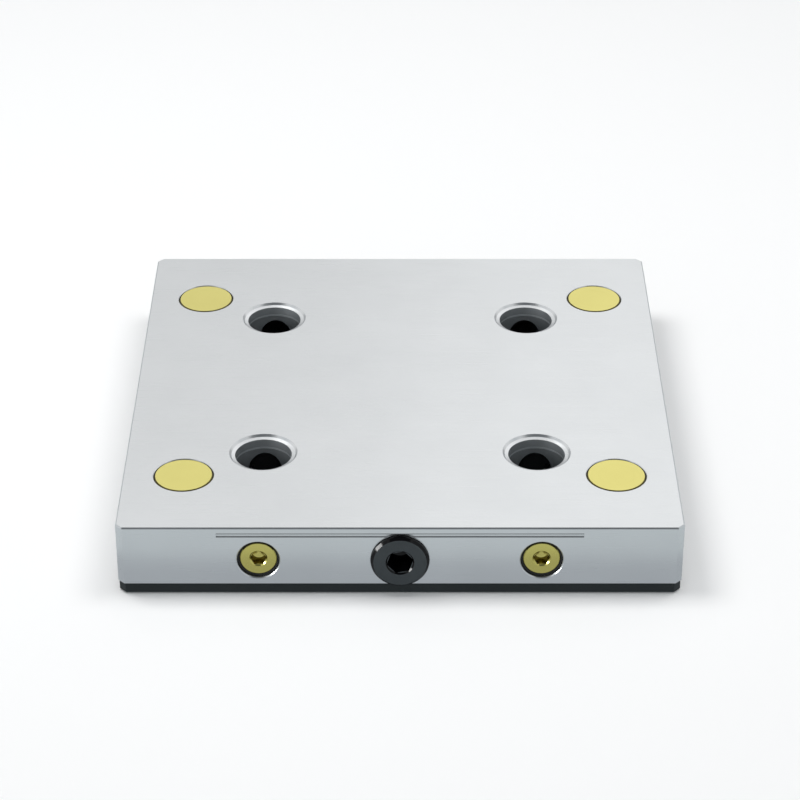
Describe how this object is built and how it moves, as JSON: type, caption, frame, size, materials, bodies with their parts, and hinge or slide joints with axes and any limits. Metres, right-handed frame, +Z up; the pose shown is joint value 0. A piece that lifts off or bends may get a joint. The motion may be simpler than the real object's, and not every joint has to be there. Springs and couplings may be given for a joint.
{
  "type": "zero point clamping plate",
  "caption": "Square steel plate with stud bores in its top and one hex screw in front that drives a wedge, slides and pins to lock pull studs.",
  "frame": {"origin": "centre of the base plate's underside", "axes": "+Z up out of the top face, -Y out of the front face with the clamping screw, +X to the right seen from the front"},
  "size_m": [0.192, 0.1937, 0.027],
  "materials": {
    "ground_steel": "satin",
    "black_plate": "satin",
    "black_steel": "satin",
    "tool_steel": "satin",
    "cover_brass": "satin",
    "plug_brass": "satin",
    "rubber": "matte",
    "spring_wire": "satin"
  },
  "bodies": {
    "plate": {"body": "ground_steel", "base_plate": "black_plate", "base_screws": "black_steel", "base_dowels": "tool_steel", "cover_front_left": "cover_brass", "cover_front_right": "cover_brass", "cover_rear_left": "cover_brass", "cover_rear_right": "cover_brass", "cover_ring_front_left": "rubber", "cover_ring_front_right": "rubber", "cover_ring_rear_left": "rubber", "cover_ring_rear_right": "rubber", "plug_front_left": "plug_brass", "plug_front_right": "plug_brass", "plug_rear_left": "plug_brass", "plug_rear_right": "plug_brass", "plug_ring_front_left": "rubber", "plug_ring_front_right": "rubber", "plug_ring_rear_left": "rubber", "plug_ring_rear_right": "rubber", "spring_left": "spring_wire", "spring_right": "spring_wire"},
    "wedge": {"wedge": "tool_steel"},
    "screw": {"clamping_screw": "black_steel", "screw_ring": "rubber"},
    "slide_left": {"slide_left": "tool_steel"},
    "slide_right": {"slide_right": "tool_steel"},
    "pin_front_left": {"pin_front_left": "black_steel", "anchor_front_left": "tool_steel"},
    "pin_front_right": {"pin_front_right": "black_steel", "anchor_front_right": "tool_steel"},
    "pin_rear_left": {"pin_rear_left": "black_steel", "anchor_rear_left": "tool_steel"},
    "pin_rear_right": {"pin_rear_right": "black_steel", "anchor_rear_right": "tool_steel"}
  },
  "joints": [
    {"name": "wedge_push", "type": "slide", "parent": "plate", "child": "wedge", "axis": [0, 1, 0], "range_m": [0, 0.0045]},
    {"name": "screw_turn", "type": "hinge", "parent": "wedge", "child": "screw", "pos_m": [0, -0.096, 0.014], "axis": [0, 1, 0], "range_deg": [0, 810]},
    {"name": "slide_left_stroke", "type": "slide", "parent": "plate", "child": "slide_left", "axis": [-1, 0, 0], "range_m": [0, 0.0045]},
    {"name": "slide_right_stroke", "type": "slide", "parent": "plate", "child": "slide_right", "axis": [1, 0, 0], "range_m": [0, 0.0045]},
    {"name": "pin_front_left_stroke", "type": "slide", "parent": "plate", "child": "pin_front_left", "axis": [0, -1, 0], "range_m": [0, 0.0045]},
    {"name": "pin_front_right_stroke", "type": "slide", "parent": "plate", "child": "pin_front_right", "axis": [0, -1, 0], "range_m": [0, 0.0045]},
    {"name": "pin_rear_left_stroke", "type": "slide", "parent": "plate", "child": "pin_rear_left", "axis": [0, 1, 0], "range_m": [0, 0.0045], "deforming": ["spring_left"]},
    {"name": "pin_rear_right_stroke", "type": "slide", "parent": "plate", "child": "pin_rear_right", "axis": [0, 1, 0], "range_m": [0, 0.0045], "deforming": ["spring_right"]}
  ],
  "couplings": [
    {"joint": "screw_turn", "follows": "wedge_push", "rad_per_m": 3141.6},
    {"joint": "slide_left_stroke", "follows": "wedge_push", "ratio": 1},
    {"joint": "slide_right_stroke", "follows": "wedge_push", "ratio": 1},
    {"joint": "pin_front_left_stroke", "follows": "wedge_push", "ratio": 1},
    {"joint": "pin_front_right_stroke", "follows": "wedge_push", "ratio": 1},
    {"joint": "pin_rear_left_stroke", "follows": "wedge_push", "ratio": 1},
    {"joint": "pin_rear_right_stroke", "follows": "wedge_push", "ratio": 1}
  ]
}
